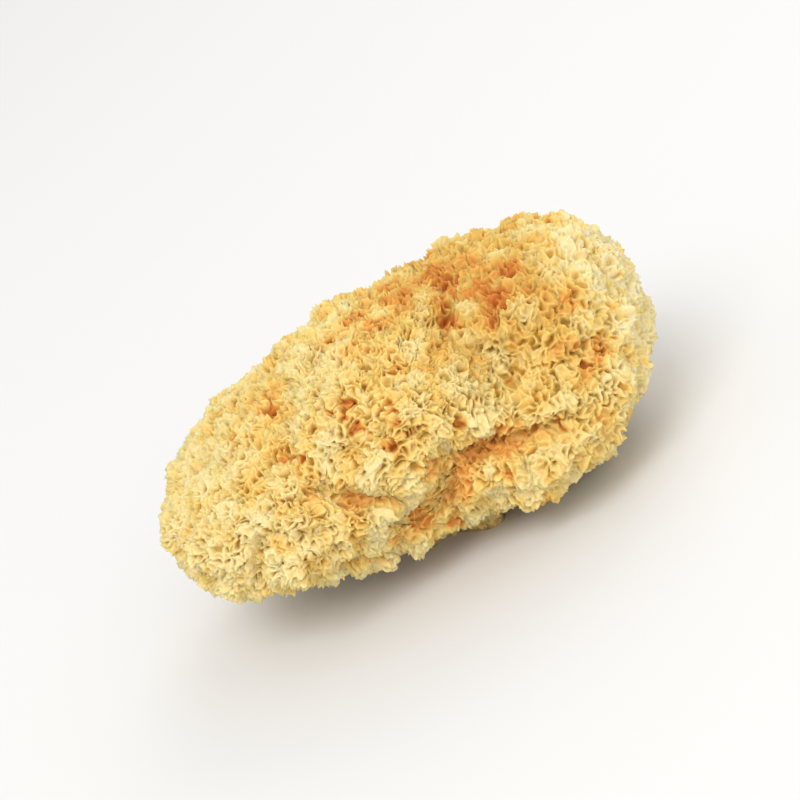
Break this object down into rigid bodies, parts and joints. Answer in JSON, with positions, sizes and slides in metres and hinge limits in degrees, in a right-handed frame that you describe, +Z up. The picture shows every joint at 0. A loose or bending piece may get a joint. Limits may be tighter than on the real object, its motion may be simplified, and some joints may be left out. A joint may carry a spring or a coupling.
{
  "type": "dried snow fungus head",
  "caption": "Dried, lobed bun of tightly packed curled fronds with a deep fold on one side, trimmed flat underneath so that it rests on the cut.",
  "frame": {"origin": "on the trimmed flat base, below the middle of the head", "axes": "+X along the head's length, -Y out of the side with the main fold, +Z up"},
  "size_m": [0.124, 0.094, 0.058],
  "materials": {
    "dried_frond": "dull dried tissue, cream at the frond edges and amber in the pits"
  },
  "bodies": {
    "root": {"fungus_head": "dried_frond"}
  },
  "joints": []
}
